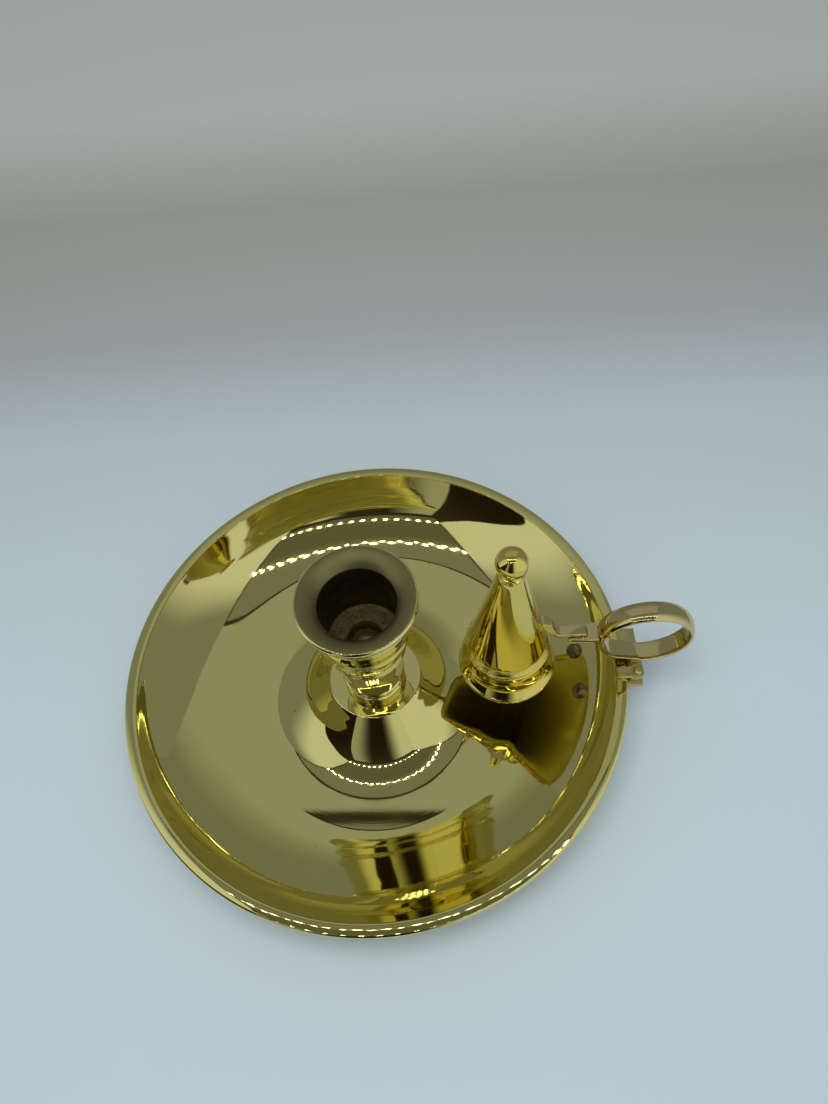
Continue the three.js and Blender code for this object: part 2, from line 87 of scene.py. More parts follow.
class Wire:
    """One socket on its way through a material, with sums on it written as Python."""

    def __init__(self, socket):
        self.socket = socket

    def node(self, kind, settings=(), inputs=(), output=0):
        made = self.socket.id_data.nodes.new(kind)
        for key, value in dict(settings).items():
            if key == "stops":
                ramp = made.color_ramp
                while len(ramp.elements) < len(value):
                    ramp.elements.new(1)
                for element, (position, colour) in zip(ramp.elements, value):
                    element.position = position
                    element.color = (*colour, 1) if len(colour) == 3 else colour
            else:
                setattr(made, key, value)
        for key, value in dict(inputs).items():
            if isinstance(value, Wire):
                self.socket.id_data.links.new(value.socket, made.inputs[key])
            else:
                made.inputs[key].default_value = value
        return Wire(made.outputs[output])

    def sum(self, operation, *terms, clamp=False):
        settings = {"operation": operation, "use_clamp": clamp}
        return self.node("ShaderNodeMath", settings, enumerate(terms))

    def __add__(self, other):
        return self.sum("ADD", self, other)

    def __radd__(self, other):
        return self.sum("ADD", other, self)

    def __sub__(self, other):
        return self.sum("SUBTRACT", self, other)

    def __rsub__(self, other):
        return self.sum("SUBTRACT", other, self)

    def __mul__(self, other):
        return self.sum("MULTIPLY", self, other)

    def __rmul__(self, other):
        return self.sum("MULTIPLY", other, self)

    def __truediv__(self, other):
        return self.sum("DIVIDE", self, other)

    def __pow__(self, other):
        return self.sum("POWER", self, other)

    def clamped(self):
        return self.sum("ADD", self, 0.0, clamp=True)

    def above(self, edge, soft):
        """0 below the edge and 1 above it, over a soft band."""
        return ((self - (edge - soft / 2)) / soft).clamped()


def material(name):
    """A new material with its shader and the piece's own coordinates."""
    made = bpy.data.materials.new(name)
    made.use_nodes = True
    shader = made.node_tree.nodes["Principled BSDF"]
    shader.inputs["Metallic"].default_value = 1
    coords = made.node_tree.nodes.new("ShaderNodeTexCoord")
    return made, shader, Wire(coords.outputs["Object"])


def feed(shader, **wires):
    for key, wire in wires.items():
        name = {"color": "Base Color", "roughness": "Roughness", "normal": "Normal",
                "emission": "Emission Color"}[key]
        shader.id_data.links.new(wire.socket, shader.inputs[name])


def noise(coords, scale, detail=3, rough=0.5):
    return coords.node("ShaderNodeTexNoise", {},
                       {"Vector": coords, "Scale": scale, "Detail": detail, "Roughness": rough})


def blend_colours(mask, low, high):
    return mask.node("ShaderNodeMix", {"data_type": "RGBA"}, {0: mask, 6: low, 7: high}, 2)


def glowing(name, low, high, axis, start, end, strength=1.0, speckle=0.0):
    """A self-lit cloth whose colour runs from low to high along one axis of the tent."""
    made, shader, coords = material(name)
    shader.inputs["Metallic"].default_value = 0
    shader.inputs["Base Color"].default_value = (0, 0, 0, 1)
    shader.inputs["Specular IOR Level"].default_value = 0
    shader.inputs["Emission Strength"].default_value = strength
    along = coords.node("ShaderNodeSeparateXYZ", {}, {0: coords}, axis)
    run = along.node("ShaderNodeMapRange", {"interpolation_type": "SMOOTHSTEP"},
                     {"Value": along, "From Min": start, "From Max": end})
    weave = noise(coords, 260, 2)
    feed(shader, emission=blend_colours(weave * speckle + run, (*low, 1), (*high, 1)))
    return made


def mirror_only(piece, look):
    """Shows a studio piece to mirror reflections and to nothing else."""
    piece.data.materials.append(look)
    piece.visible_camera = piece.visible_diffuse = piece.visible_shadow = False
    piece.visible_transmission = piece.visible_volume_scatter = False


tent_turn = radians(2.3)
tent_frame = Matrix.Translation((pan_x, 0, 0)) @ Matrix.Rotation(-tent_turn, 4, "Z")
tent_left, tent_right, tent_high = -0.187, 0.204, 0.42
tent_front, tent_back = -0.27, 0.26
dark_top, dark_back = tent_high + 0.004, 0.3
bar_z = tent_high - 0.003


def cloth(name, corners, look):
    """One panel of the tent, from the ends of its cross lines, two by two."""
    bpy.ops.object.select_all(action="DESELECT")
    bpy.ops.mesh.primitive_grid_add(x_subdivisions=1, y_subdivisions=len(corners) // 2 - 1, size=1)
    piece = bpy.context.object
    piece.name = name
    for vert, corner in zip(piece.data.vertices, corners):
        vert.co = corner
    piece.matrix_world = tent_frame
    mirror_only(piece, look)


side_cloth = glowing("side_cloth", (0.68, 0.725, 0.757), (0.22, 0.242, 0.249), 1, -0.04, 0.06,
                     1, 0.12)
cloth("studio_left",
      [(tent_left, y, z) for front, z in ((-0.05, 0.002), (-0.081, 0.079), (-0.131, 0.192),
                                          (-0.205, tent_high)) for y in (front, tent_back)],
      side_cloth)
cloth("studio_right",
      [(tent_right, y, z) for z in (0.002, tent_high) for y in (-0.268, tent_back)], side_cloth)
sweep = [(0.235, 0.002), (0.25, 0.02), (0.256, 0.06), (0.25, 0.14), (0.225, 0.23),
         (0.18, 0.32), (0.12, 0.39), (0.070, tent_high)]
back_cloth = glowing("back_cloth", (0.20, 0.214, 0.200), (0.34, 0.367, 0.374), 2, 0.14, 0.30)
cloth("studio_backdrop",
      [(x, y, z) for y, z in sweep for x in (tent_left, tent_right)], back_cloth)
ceiling_cloth = glowing("ceiling_cloth", (0.12, 0.130, 0.111), (0.21, 0.223, 0.2225), 1,
                        -0.10, -0.04)
cloth("studio_ceiling", [(x, y, tent_high - 0.001) for y in (0.066, -0.235)
                         for x in (tent_left + 0.004, tent_right - 0.004)], ceiling_cloth)
dark_front = glowing("dark_front", (0.012, 0.009, 0.006), (0.035, 0.028, 0.02), 2, 0.0, 0.5)
cloth("studio_opening",
      [(x, y, z) for y, z in ((tent_front, 0.002), (tent_front, dark_top), (dark_back, dark_top))
       for x in (tent_left - 0.02, tent_right + 0.02)], dark_front)
for name, x in (("studio_outer_left", tent_left - 0.012),
                ("studio_outer_right", tent_right + 0.012)):
    cloth(name, [(x, y, z) for z in (0.002, dark_top) for y in (tent_front, dark_back)],
          dark_front)
flap_right = glowing("flap_right", (0.03, 0.03, 0.025), (0.60, 0.64, 0.64), 0, 0.035, 0.13)
flap_left = glowing("flap_left", (0.34, 0.36, 0.35), (0.02, 0.018, 0.014), 0, -0.16, -0.05)
for name, ends, look in (("studio_flap_right", (0.035, tent_right), flap_right),
                         ("studio_flap_left", (tent_left, -0.05), flap_left)):
    cloth(name, [(x, tent_front + 0.002, z) for z in (0.002, tent_high) for x in ends], look)
for name, x in (("studio_bar_left", tent_left + 0.002), ("studio_bar_right", tent_right - 0.008)):
    cloth(name, [(x + dx, y, bar_z) for y in (0.066, -0.2) for dx in (0, 0.006)],
          dark_front)
cloth("studio_bar_back",
      [(x, y, bar_z) for y in (0.063, 0.073) for x in (tent_left, tent_right)], dark_front)
lamp_glow = glowing("lamp_glow", (0.93, 1.0, 0.95), (1.0, 1.0, 0.95), 2, -0.01, 0.01, 22)
lamp_size, lamp_pitch, lamp_margin, lamp_drop = 0.0036, 0.0245, 0.012, 0.008
bpy.ops.object.select_all(action="DESELECT")
bpy.ops.mesh.primitive_uv_sphere_add(segments=12, ring_count=8, radius=lamp_size)
lamp_pattern = bpy.context.object
for row, y in enumerate((-0.052, -0.060, -0.197)):
    for i in range(16):
        bead = lamp_pattern.copy()
        bead.data = lamp_pattern.data.copy()
        bead.name = f"studio_lamp_{row}_{i}"
        bpy.context.collection.objects.link(bead)
        x = tent_left + lamp_margin + (i + (0.5 if row == 1 else 0)) * lamp_pitch
        bead.location = tent_frame @ Vector((x, y, tent_high - lamp_drop))
        if row == 1:
            bead.scale = (0.7, 0.7, 0.7)
        mirror_only(bead, lamp_glow)
bpy.data.objects.remove(lamp_pattern)

bpy.ops.mesh.primitive_plane_add(size=8, location=(0, 0, 0))
floor = bpy.context.object
floor.name = "studio_floor"
paper, paper_face, paper_coords = material("pale_paper_painted_shade")
paper_face.inputs["Metallic"].default_value = 0
paper_face.inputs["Roughness"].default_value = 0.8
paper_face.inputs["Specular IOR Level"].default_value = 0.05
sweep_end = 0.8
paper_run = paper_coords.node("ShaderNodeSeparateXYZ", {}, {0: paper_coords}, 1) / sweep_end
# The floor's colour along y is painted: bluish pale at the front, then a darker, yellower band
# behind the pan as painted shade, then pale again further back.
paper_shade_stops = [(0.0, (0.655, 0.745, 0.81)), (0.14, (0.59, 0.68, 0.71)),
               (0.21, (0.466, 0.497, 0.49)), (0.324, (0.461, 0.46, 0.413)),
               (0.431, (0.69, 0.71, 0.68)), (1.0, (0.72, 0.74, 0.71))]
feed(paper_face, color=paper_run.node("ShaderNodeValToRGB", {"stops": paper_shade_stops},
                                      {"Fac": paper_run.clamped()}))
floor.data.materials.append(paper)

air = bpy.data.worlds.new("soft_air")
air.use_nodes = True
scene.world = air
air.node_tree.nodes["Background"].inputs["Color"].default_value = (0.93, 0.98, 1.0, 1)
air.node_tree.nodes["Background"].inputs["Strength"].default_value = 0.42

above = tent_frame @ Vector((0, -0.10, 0.55))
bpy.ops.object.light_add(type="AREA", location=above)
overhead = bpy.context.object
overhead.name = "overhead"
overhead.data.shape = "RECTANGLE"
overhead.data.size, overhead.data.size_y = 0.42, 0.24
overhead.data.energy = 1.3
overhead.data.color = (0.96, 0.99, 1.0)
overhead.visible_glossy = False

# ------------------------------------------------------------------------- drip pan
# The drip pan is spun from one disc of sheet brass: a trumpet boss in the middle, a flat
# floor, a dished wall and a faintly crowned rim band with a rounded edge. It is buffed to a
# mirror.


def spun(name, outline, axis_x, steps=256):
    """Draws an outline of (radius, height) in millimetres and spins it once round its axis."""
    bpy.ops.object.select_all(action="DESELECT")
    start_r, start_z = outline[0]
    bpy.ops.mesh.primitive_plane_add(size=mm, location=(axis_x + start_r * mm, 0, start_z * mm))
    piece = bpy.context.object
    piece.name = name
    bpy.ops.object.transform_apply(location=True, rotation=True, scale=True)
    bpy.ops.object.mode_set(mode="EDIT")
    bpy.ops.mesh.select_all(action="SELECT")
    bpy.ops.mesh.merge(type="CENTER")
    for (r0, z0), (r1, z1) in zip(outline, outline[1:]):
        step = ((r1 - r0) * mm, 0, (z1 - z0) * mm)
        bpy.ops.mesh.extrude_region_move(TRANSFORM_OT_translate={"value": step})
    bpy.ops.mesh.select_all(action="SELECT")
    bpy.ops.mesh.spin(steps=steps, angle=2 * pi, center=(axis_x, 0, 0), axis=(0, 0, 1))
    bpy.ops.mesh.select_all(action="SELECT")
    bpy.ops.mesh.remove_doubles(threshold=2e-6)
    bpy.ops.mesh.normals_make_consistent(inside=False)
    bpy.ops.object.mode_set(mode="OBJECT")
    bpy.ops.object.shade_smooth_by_angle(angle=radians(35))
    return piece


def arc(r, z, radius, first, last, steps):
    """Points of an arc in an outline, in degrees from outward towards upward."""
    turns = [radians(first + (last - first) * i / steps) for i in range(steps + 1)]
    return [(r + radius * cos(a), z + radius * sin(a)) for a in turns]


def shifted(points, distance):
    """Moves an outline along its own normal, to the right of its direction."""
    moved = []
    for i, (r, z) in enumerate(points):
        before, after = points[max(i - 1, 0)], points[min(i + 1, len(points) - 1)]
        dr, dz = after[0] - before[0], after[1] - before[1]
        length = hypot(dr, dz)
        moved.append((r + dz / length * distance, z - dr / length * distance))
    return moved


def polished_brass(name, axis_x, colour, warm, gloss=0.022, rings=0.5, pits=0.5):
    """Buffed brass: warm patches of handling, a few pits, hairlines that run round the axis."""
    made, shader, coords = material(name)
    centred = coords.node("ShaderNodeMapping", {"vector_type": "POINT"},
                          {"Vector": coords, "Location": (-axis_x, 0, 0)})
    parts = centred.node("ShaderNodeSeparateXYZ", {}, {0: centred})
    x, y, z = [Wire(parts.socket.node.outputs[i]) for i in range(3)]
    radius = (x * x + y * y) ** 0.5
    cloud = noise(centred, 22, 4, 0.6)
    smear = noise(centred, 90, 5, 0.65)
    pit_field = centred.node("ShaderNodeTexVoronoi", {"feature": "F1"},
                             {"Vector": centred, "Scale": 260.0})
    pit_rarity = noise(centred, 150, 1, 0.4)
    pit = (1 - pit_field.above(0.10, 0.05)) * pit_rarity.above(0.66, 0.04)
    across = centred.node("ShaderNodeCombineXYZ", {}, {0: radius, 1: z, 2: 0.0})
    hairlines = noise(across, 2600, 3, 0.7)
    patches = (cloud.above(0.55, 0.35) * 0.45 + smear.above(0.62, 0.25) * 0.18).clamped()
    feed(shader, color=blend_colours(
        pit * pits, blend_colours(patches, colour, warm), (0.20, 0.13, 0.04, 1)))
    feed(shader, roughness=(gloss + smear.above(0.5, 0.4) * 0.014 + cloud.above(0.6, 0.3) * 0.012
                            + hairlines * 0.01 * rings + pit * 0.35 * pits).clamped())
    height = hairlines * 0.35 * rings - pit * 0.8 * pits + smear * 0.25
    bump = height.node("ShaderNodeBump", {}, {"Strength": 0.02, "Distance": 0.0004,
                                             "Height": height})
    feed(shader, normal=bump)
    return made


YELLOW = (0.76, 0.685, 0.265, 1)
WARM = (0.73, 0.63, 0.215, 1)

pan_radius, rim_top, sheet = 78, 20, 1.6
band_inner = pan_radius - 3.8
floor_radius, boss_top, boss_disc, boss_foot = 46, 13.6, 15.2, 37
crown_r, crown_bend = 75.6, 15.6
bolt_hole = 3.3


def smooth(points, steps=8):
    """A smooth line through the given points."""
    line = []
    last = len(points) - 1
    for i in range(last):
        p0, p1 = points[max(i - 1, 0)], points[i]
        p2, p3 = points[i + 1], points[min(i + 2, last)]
        for j in range(steps):
            t = j / steps
            line.append(tuple(
                0.5 * (2 * b + (c - a) * t + (2 * a - 5 * b + 4 * c - d) * t * t
                       + (3 * b - a - 3 * c + d) * t ** 3)
                for a, b, c, d in zip(p0, p1, p2, p3)))
    return line + [points[-1]]


boss_face = smooth([(boss_disc + 0.1, 12.59), (16.2, 11.58), (17.2, 10.5), (19.2, 8.4),
                    (21.2, 6.5), (23.2, 4.98), (25.2, 3.89), (27.2, 3.11), (29.2, 2.5),
                    (31.2, 2.03), (33.2, 1.74), (35.2, 1.625), (boss_foot, sheet)], 4)
floor_face = [(boss_foot + 0.9 * i, sheet) for i in range(1, 10)]
wall_face = smooth([(floor_radius, sheet), (48, 1.75), (50, 2.12), (52, 2.66), (54, 3.35),
                    (56, 4.18), (58, 5.12), (60, 6.17), (62, 7.34), (64, 8.64), (66, 10.1),
                    (68, 11.8), (70, 13.87), (72, 16.33), (band_inner - 0.2, 19.2)], 4)
boss_back = shifted(boss_face, sheet)
wall_back = shifted(wall_face, sheet)
pan_outline = (
    [(bolt_hole, boss_top), (9, boss_top), (13.4, boss_top)]
    + arc(boss_disc - 1.17, boss_top - 0.8, 0.8, 90, 42, 8)
    + boss_face
    + floor_face
    + wall_face
    + [(band_inner - 0.02, rim_top - 0.55), (band_inner + 0.1, rim_top - 0.36)]
    + arc(band_inner + 0.4, rim_top - 0.37, 0.3, 170, 95, 5)
    + [(r, rim_top - (r - crown_r) ** 2 / crown_bend)
       for r in [band_inner + 0.6 + 0.3 * i for i in range(9)]]
    + arc(pan_radius - 0.8, rim_top - 0.97, 0.8, 77, -90, 16)
    + [(band_inner + 1.9, rim_top - sheet - 0.12)]
    + [(r, max(z, 0)) for r, z in reversed(wall_back[:-1])]
    + [(44.5, 0), (42, 0), (39.5, 0)]
    + [(r, max(z, 0)) for r, z in reversed(boss_back[2:])]
    + [(boss_disc - 2.6, boss_top - sheet - 0.2), (boss_disc - 3.4, boss_top - sheet)]
    + [(8, boss_top - sheet), (bolt_hole, boss_top - sheet), (bolt_hole, boss_top)]
)
drip_pan = spun("drip_pan_spun", pan_outline, pan_x)
drip_pan.data.materials.append(polished_brass("pan_brass", pan_x, YELLOW, WARM))
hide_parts("drip_pan")
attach(drip_pan, "base")

# ------------------------------------------------------------------------- candle socket
# The socket is turned from cast brass bar: a flared lip, a reeded cup with three groups of
# fine beads, a polished neck and a small foot ring. The lip's funnel is left satin from the
# tool, and the bottom of the bore still has the rough skin of the casting.


def beads(r, z, count, size):
    """A run of small half-round beads, one above the other, from z upwards."""
    points = []
    for i in range(count):
        points += arc(r, z + (i + 0.5) * size, size / 2, -80, 80, 8)
    return points


bore, lip_top = 11, 64.6
socket_floor = lip_top - 24
pocket_r, pocket_floor = 5.5, lip_top - 29
foot_z = boss_top + 0.02
socket_outline = (
    [(bolt_hole, foot_z), (6, foot_z), (8.8, foot_z)]
    + arc(8.6, foot_z + 0.9, 0.85, -80, 80, 10)
    + smooth([(9.0, foot_z + 2.1), (8.8, foot_z + 2.8), (8.95, foot_z + 3.6)], 4)
    + arc(8.95, foot_z + 4.5, 0.75, -75, 75, 8)
    + smooth([(9.3, foot_z + 5.5), (9.4, foot_z + 7.6), (9.6, foot_z + 11.4),
              (10.3, foot_z + 16), (11.0, foot_z + 20.4), (11.3, socket_floor - 4.9)], 9)
    + beads(11.3, socket_floor - 4.5, 4, 0.9)
    + smooth([(11.9, socket_floor - 0.6), (12.3, socket_floor + 1.6), (13.0, lip_top - 18.6)], 6)
    + beads(13.05, lip_top - 18.4, 3, 0.9)
    + smooth([(13.6, lip_top - 15.4), (14.1, lip_top - 12.4), (14.5, lip_top - 8.6)], 6)
    + beads(14.5, lip_top - 8.3, 3, 0.8)
    + smooth([(14.8, lip_top - 5.6), (14.9, lip_top - 4.6), (15.4, lip_top - 3.4),
              (16.2, lip_top - 2.3)], 5)
    + arc(16.3, lip_top - 1.15, 0.9, -50, 80, 12)
    + smooth([(16.0, lip_top - 0.26), (15.0, lip_top - 0.5), (13.6, lip_top - 1.1),
              (12.4, lip_top - 1.9), (11.5, lip_top - 2.8), (11.15, lip_top - 3.2)], 8)
    + [(bore, lip_top - 3.5), (bore, lip_top - 12), (bore, socket_floor + 1.0)]
    + arc(bore - 0.7, socket_floor + 0.7, 0.7, 0, -90, 5)
    + [(8.5, socket_floor), (6.2, socket_floor)]
    + arc(pocket_r + 0.4, socket_floor - 0.4, 0.4, 90, 180, 4)
    + [(pocket_r, socket_floor - 2), (pocket_r, pocket_floor), (4.6, pocket_floor),
       (bolt_hole, pocket_floor), (bolt_hole, foot_z)]
)
candle_socket = spun("candle_socket_turned", socket_outline, pan_x)

socket_brass = polished_brass("socket_brass", pan_x, YELLOW, WARM, 0.03, 0.8, 0.3)

lip_brass, lip_face, lip_coords = material("lip_satin_brass")
lip_centred = lip_coords.node("ShaderNodeMapping", {"vector_type": "POINT"},
                              {"Vector": lip_coords, "Location": (-pan_x, 0, 0)})
lip_parts = lip_centred.node("ShaderNodeSeparateXYZ", {}, {0: lip_centred})
lip_x, lip_y, lip_z = [Wire(lip_parts.socket.node.outputs[i]) for i in range(3)]
lip_radius = (lip_x * lip_x + lip_y * lip_y) ** 0.5
lip_line = lip_centred.node("ShaderNodeCombineXYZ", {}, {0: lip_radius, 1: 0.0, 2: 0.0})
tool_marks = noise(lip_line, 3200, 4, 0.75)
lip_grain = noise(lip_centred, 900, 3, 0.6)
lip_stain = noise(lip_centred, 70, 4, 0.6)
feed(lip_face, color=blend_colours(
    (lip_stain.above(0.5, 0.3) * 0.6 + tool_marks * 0.2).clamped(),
    (0.30, 0.265, 0.115, 1), (0.21, 0.18, 0.075, 1)))
feed(lip_face, roughness=(0.34 + tool_marks * 0.12 + lip_grain * 0.08).clamped())
lip_height = tool_marks * 0.8 + lip_grain * 0.25
feed(lip_face, normal=lip_height.node(
    "ShaderNodeBump", {}, {"Strength": 0.35, "Distance": 0.0002, "Height": lip_height}))

# The bore's wall is painted near-black brass, painted shade of the deep bore, with a random mottle
# between two dark tones.
bore_shade_brass, bore_face, bore_coords = material("bore_painted_shade_brass")
bore_shade_mottle = noise(bore_coords, 160, 4, 0.65)
feed(bore_face, color=blend_colours(
    bore_shade_mottle.above(0.5, 0.35), (0.12, 0.095, 0.035, 1), (0.06, 0.045, 0.018, 1)))
feed(bore_face, roughness=(0.42 + bore_shade_mottle * 0.2).clamped())
bore_height = noise(bore_coords, 1400, 3, 0.6)
feed(bore_face, normal=bore_height.node(
    "ShaderNodeBump", {}, {"Strength": 0.3, "Distance": 0.0002, "Height": bore_height}))

cast_brass, cast_face, cast_coords = material("cast_skin_brass")
cast_grain = noise(cast_coords, 1100, 5, 0.75)
cast_lumps = noise(cast_coords, 420, 3, 0.6)
feed(cast_face, color=blend_colours(
    cast_grain.above(0.5, 0.3), (0.16, 0.135, 0.05, 1), (0.46, 0.40, 0.17, 1)))
feed(cast_face, roughness=(0.5 + cast_lumps * 0.2).clamped())
cast_height = cast_grain * 0.6 + cast_lumps
feed(cast_face, normal=cast_height.node(
    "ShaderNodeBump", {}, {"Strength": 0.9, "Distance": 0.0005, "Height": cast_height}))

for made in (socket_brass, lip_brass, bore_shade_brass, cast_brass):
    candle_socket.data.materials.append(made)
for polygon in candle_socket.data.polygons:
    middle = polygon.center
    r = hypot(middle.x - pan_x, middle.y) / mm
    z = middle.z / mm
    outside = z < socket_floor - 0.1 and r > pocket_r + 0.8 or r > 16.3
    if outside or z < pocket_floor - 0.1:
        polygon.material_index = 0
    elif z > lip_top - 3.6 and polygon.normal.z > 0.02:
        polygon.material_index = 1
    elif r < bore + 0.1 and z > socket_floor + 0.5:
        polygon.material_index = 2
    elif r < bore + 0.1:
        polygon.material_index = 3
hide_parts("candle_socket")
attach(candle_socket, "base")

# ------------------------------------------------------------------------- centre bolt
# A round-headed brass bolt drops through the socket floor and the boss. Its head stays bright
# in the pocket, and its end comes out below the boss for the nut.
head_z = pocket_floor + 0.05
washer_top = boss_top - sheet - 0.3
nut_top = washer_top - 1.5
bolt_outline = (
    [(0, nut_top - 6.2), (2.2, nut_top - 6.2), (3.0, nut_top - 5.5), (3.0, head_z)]
    + [(4.5, head_z), (4.9, head_z + 0.3), (4.9, head_z + 1.5)]
    + smooth([(4.85, head_z + 1.8), (4.2, head_z + 2.9), (2.6, head_z + 3.75),
              (1.2, head_z + 4.0)], 6)
    + [(0, head_z + 4.05)]
)
centre_bolt = spun("centre_bolt_turned", bolt_outline, pan_x, 96)
centre_bolt.data.materials.append(
    polished_brass("bolt_brass", pan_x, (0.88, 0.79, 0.42, 1), WARM, 0.12, 1.0, 0.3))
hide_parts("centre_bolt")
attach(centre_bolt, "base")

# ------------------------------------------------------------------------- washer and nut
# A stamped steel washer and a hexagon nut under the boss draw the bolt tight and hold the
# socket down. Both are plain steel with a little stain.
base_washer = spun("base_washer_stamped", [
    (3.4, washer_top - 1.2), (7.2, washer_top - 1.2), (7.45, washer_top - 1.0),
    (7.5, washer_top - 0.7), (7.45, washer_top - 0.15), (7.2, washer_top),
    (3.4, washer_top), (3.4, washer_top - 1.2)], pan_x, 96)

bpy.ops.object.select_all(action="DESELECT")
nut_across, nut_high = 10, 4.6
bpy.ops.mesh.primitive_cylinder_add(vertices=6, radius=nut_across / sqrt(3) * mm,
                                    depth=nut_high * mm,
                                    location=(pan_x, 0, (nut_top - nut_high / 2) * mm))
base_nut = bpy.context.object
base_nut.name = "base_nut_hex"
bpy.ops.object.transform_apply(location=True, rotation=True, scale=True)
bpy.ops.object.mode_set(mode="EDIT")
bpy.ops.mesh.select_all(action="DESELECT")
nut_mesh = bmesh.from_edit_mesh(base_nut.data)
for face in nut_mesh.faces:
    face.select_set(abs(face.normal.z) > 0.9)
bmesh.update_edit_mesh(base_nut.data)
bpy.ops.mesh.inset(thickness=2.6 * mm, depth=0)
bpy.ops.mesh.bridge_edge_loops()
bpy.ops.object.mode_set(mode="OBJECT")
nut_edge = base_nut.modifiers.new("edge", "BEVEL")
nut_edge.width, nut_edge.segments = 0.35 * mm, 3
bpy.ops.object.modifier_apply(modifier="edge")
bpy.ops.object.shade_smooth_by_angle(angle=radians(35))

steel, steel_face, steel_coords = material("plain_steel")
steel_grain = noise(steel_coords, 700, 4, 0.6)
steel_stain = noise(steel_coords, 120, 3, 0.6)
feed(steel_face, color=blend_colours(
    steel_stain.above(0.55, 0.3), (0.50, 0.50, 0.48, 1), (0.34, 0.30, 0.24, 1)))
feed(steel_face, roughness=(0.32 + steel_grain * 0.2).clamped())
feed(steel_face, normal=steel_grain.node(
    "ShaderNodeBump", {}, {"Strength": 0.2, "Distance": 0.0002, "Height": steel_grain}))
for piece, node, slot in ((base_washer, "base_washer", "washer_steel"),
                          (base_nut, "base_nut", "nut_steel")):
    piece.data.materials.append(steel)
    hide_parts(node)
    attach(piece, "base")

# ------------------------------------------------------------------------- finger ring
# The finger ring is one turn of half-round brass strip with lapped ends, soldered where they
# cross at the bottom left and to the foot below. Its outside is crowned and polished.
ring_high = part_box("finger_ring")[1]
ring_r, strip, ring_half = 14.3, 1.7, 3.1
ring_x = ring_high[0] / mm - ring_r
ring_z = ring_high[2] / mm - ring_r
lap_outer, lap_inner, lap_blend = 258, 242, 300


def inward(turned):
    """How far the lapped end has run in under the outer one, at an angle round the ring."""
    f = min(max((lap_blend - turned) / (lap_blend - lap_outer - 4), 0), 1)
    return strip * 1.02 * f * f * (3 - 2 * f)


def strip_section():
    """Half-round section of the strip as (across, outward) from the middle of its inner face."""
    wide = ring_half
    crown = [(wide * (i / 9 - 1), strip - 0.85 * abs(i / 9 - 1) ** 2.4) for i in range(19)]
    return ([(-wide + 0.3, 0), (-wide + 0.08, 0.1), (-wide, 0.35)] + crown
            + [(wide, 0.35), (wide - 0.08, 0.1), (wide - 0.3, 0), (1, 0.02), (-1, 0.02)])


bpy.ops.object.select_all(action="DESELECT")
section = strip_section()
bpy.ops.mesh.primitive_circle_add(vertices=len(section), radius=mm, fill_type="NOTHING")
finger_ring = bpy.context.object
finger_ring.name = "finger_ring_strip"
start = radians(lap_outer)
bpy.ops.object.mode_set(mode="EDIT")
ring_mesh = bmesh.from_edit_mesh(finger_ring.data)
ring_mesh.verts.ensure_lookup_table()
for vert, (across_y, outward) in zip(ring_mesh.verts, section):
    r = ring_r - strip + outward
    vert.co = Vector((ring_x + r * cos(start), across_y, ring_z + r * sin(start))) * mm
bmesh.update_edit_mesh(finger_ring.data)
bpy.ops.mesh.select_all(action="SELECT")
ring_centre = Vector((ring_x * mm, 0, ring_z * mm))
bpy.ops.mesh.spin(steps=159, angle=radians(lap_outer + 360 - lap_blend), center=ring_centre,
                  axis=(0, 1, 0))
lap_steps = (lap_blend - lap_inner) // 2
for i in range(lap_steps):
    angle = radians(lap_blend - (i + 0.5) * 2)
    bpy.ops.mesh.spin(steps=1, angle=radians(2), center=ring_centre, axis=(0, 1, 0))
    pull = (inward(lap_blend - (i + 1) * 2) - inward(lap_blend - i * 2)) * mm
    bpy.ops.transform.translate(value=(-cos(angle) * pull, 0, -sin(angle) * pull))
bpy.ops.mesh.select_all(action="SELECT")
bpy.ops.mesh.remove_doubles(threshold=2e-6)
bpy.ops.mesh.fill_holes(sides=0)
bpy.ops.mesh.select_all(action="SELECT")
bpy.ops.mesh.normals_make_consistent(inside=False)
bpy.ops.object.mode_set(mode="OBJECT")
bpy.ops.object.shade_smooth_by_angle(angle=radians(40))
ring_brass = polished_brass("ring_brass", ring_x * mm, (0.68, 0.565, 0.27, 1),
                            (0.62, 0.49, 0.21, 1), 0.05, 0.3, 0.6)
finger_ring.data.materials.append(ring_brass)
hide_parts("finger_ring")
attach(finger_ring, "base")

# ------------------------------------------------------------------------- snuffer fork
# A small brass plate, sawn and filed to two prongs with a slot between them, is soldered to
# the inner side of the ring. The snuffer's tongue lies on it.


def plate(name, outline, thick, upright):
    """A flat piece: its outline is drawn edge by edge, filled, and pushed out to its thickness.
    An upright outline is in (x, z) and centred on y = 0, the other is in (x, y, its low z)."""
    bpy.ops.object.select_all(action="DESELECT")
    points = [Vector((p[0], -thick / 2, p[1])) if upright else Vector(p) for p in outline]
    bpy.ops.mesh.primitive_plane_add(size=mm, location=points[0] * mm)
    piece = bpy.context.object
    piece.name = name
    bpy.ops.object.transform_apply(location=True, rotation=True, scale=True)
    bpy.ops.object.mode_set(mode="EDIT")
    bpy.ops.mesh.select_all(action="SELECT")
    bpy.ops.mesh.merge(type="CENTER")
    for before, after in zip(points, points[1:]):
        step = (after - before) * mm
        bpy.ops.mesh.extrude_region_move(TRANSFORM_OT_translate={"value": step})
    bpy.ops.mesh.select_all(action="SELECT")
    bpy.ops.mesh.edge_face_add()
    rise = (0, thick * mm, 0) if upright else (0, 0, thick * mm)
    bpy.ops.mesh.extrude_region_move(TRANSFORM_OT_translate={"value": rise})
    bpy.ops.mesh.select_all(action="SELECT")
    bpy.ops.mesh.normals_make_consistent(inside=False)
    bpy.ops.object.mode_set(mode="OBJECT")
    return piece


